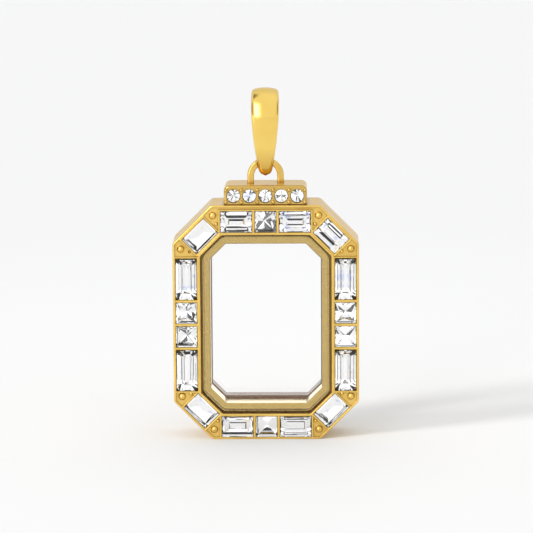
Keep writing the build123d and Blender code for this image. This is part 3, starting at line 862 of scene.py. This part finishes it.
def white_room():
    """A white room, seen in three ways.

    Metal sees it with its dim parts and a tall softbox at the left in front. The stones see one
    dark patch in front. The paper sees it plain.
    """
    world = bpy.data.worlds.new("room")
    world.use_nodes = True
    tree = world.node_tree
    tree.nodes.clear()
    where = node(tree, "ShaderNodeTexCoord")
    path = node(tree, "ShaderNodeLightPath")

    def toward(direction):
        """How far a direction of the room points along another."""
        return vectors(tree, "DOT_PRODUCT", (where, "Generated"), Vector(direction))

    def lobe(direction, near, far, inside, outside=1.0):
        """inside within the angle near from a direction, outside beyond the angle far."""
        return span(tree, toward(direction), "Value", math.cos(math.radians(far)),
                    math.cos(math.radians(near)), outside, inside)

    def product(*parts):
        """Product of nodes' results."""
        made = parts[0]
        for part in parts[1:]:
            made = maths(tree, "MULTIPLY", made, part)
        return made

    def white(strength):
        """White light of a strength, a number or a node."""
        made = node(tree, "ShaderNodeBackground", Color=(1, 1, 1, 1))
        if isinstance(strength, bpy.types.Node):
            join(tree, strength, 0, made, "Strength")
        else:
            made.inputs["Strength"].default_value = strength
        return made

    def after(depth, before, beyond):
        """One light before a ray's first bounce of a kind, another beyond it."""
        bounced = maths(tree, "GREATER_THAN", (path, depth), 0.5)
        return feed(tree, node(tree, "ShaderNodeMixShader"), bounced, before, beyond)

    room = product(*(lobe(*part) for part in dim_parts))
    softbox = product(
        span(tree, toward((-1, 0, 0)), "Value", 0.24, 0.32, 0.0, 4.0),
        span(tree, toward((-1, 0, 0)), "Value", 0.60, 0.50),
        span(tree, toward((0, 0, 1)), "Value", -0.30, -0.12),
        span(tree, toward((0, 0, 1)), "Value", 0.84, 0.70),
        span(tree, toward((0, -1, 0)), "Value", 0.0, 0.2))
    rise = math.radians(patch_rise)
    patch = lobe((0, -math.cos(rise), math.sin(rise)), patch_near, patch_far,
                 patch_light, stone_light)
    seen = after("Transmission Depth", white(maths(tree, "ADD", room, softbox)), white(patch))
    seen = after("Diffuse Depth", seen, white(paper_light))
    join(tree, seen, 0, node(tree, "ShaderNodeOutputWorld"), "Surface")
    return world


def key_light(receiver):
    """Low sun from the front left that lights one object alone."""
    lamp = bpy.data.lights.new("key", "SUN")
    lamp.energy = 3.2
    lamp.angle = math.radians(13)
    key = bpy.data.objects.new("key", lamp)
    scene.collection.objects.link(key)
    side, height = math.radians(29), math.radians(13)
    toward = Vector((-math.cos(side) * math.cos(height), -math.sin(side) * math.cos(height),
                     math.sin(height)))
    key.location = case_zero + toward * 0.5
    key.rotation_mode = "QUATERNION"
    key.rotation_quaternion = (-toward).to_track_quat("-Z", "Y")
    lit = bpy.data.collections.new("lit by the key")
    lit.objects.link(receiver)
    key.light_linking.receiver_collection = lit


# The photograph's camera: its picture in pixels, the pixel that shows the case's zero, its
# place round that zero in degrees, and how far off it is
image_size = 533.0
focal_pixels = 2962.3
aim_pixel = (265.7, 323.1)
azimuth, elevation, roll = math.radians(1.0), math.radians(11.1), math.radians(0.35)
distance = 430.0 * mm
sensor_width = 36.0


def photo_camera():
    """Long lens, slightly from above."""
    back = Vector((math.sin(azimuth) * math.cos(elevation),
                   -math.cos(azimuth) * math.cos(elevation), math.sin(elevation)))
    right = (-back).cross(Vector((0, 0, 1))).normalized()
    up = right.cross(-back)
    off_right = (aim_pixel[0] - image_size / 2) / focal_pixels
    off_up = (image_size / 2 - aim_pixel[1]) / focal_pixels
    sight = Vector((off_right, off_up, 1.0)).normalized()
    pitch = Matrix.Rotation(-math.asin(sight.y), 3, right)
    forward, up = pitch @ -back, pitch @ up
    forward = Matrix.Rotation(math.atan2(sight.x, sight.z), 3, up) @ forward
    right = forward.cross(up)
    right = right * math.cos(roll) - up * math.sin(roll)
    up = right.cross(forward)
    lens = bpy.data.cameras.new("camera")
    lens.sensor_width = sensor_width
    lens.lens = sensor_width * focal_pixels / image_size
    lens.clip_start, lens.clip_end = 0.01, 20.0
    made = bpy.data.objects.new("camera", lens)
    scene.collection.objects.link(made)
    made.matrix_world = Matrix((
        (right.x, up.x, -forward.x, 0), (right.y, up.y, -forward.y, 0),
        (right.z, up.z, -forward.z, 0), (0, 0, 0, 1)))
    made.location = case_zero + back * distance
    return made


floor = paper_floor()
floor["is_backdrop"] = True
scene.view_settings.view_transform = "Standard"
scene.world = white_room()
key_light(floor)
camera = photo_camera()
scene.camera = camera

low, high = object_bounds()
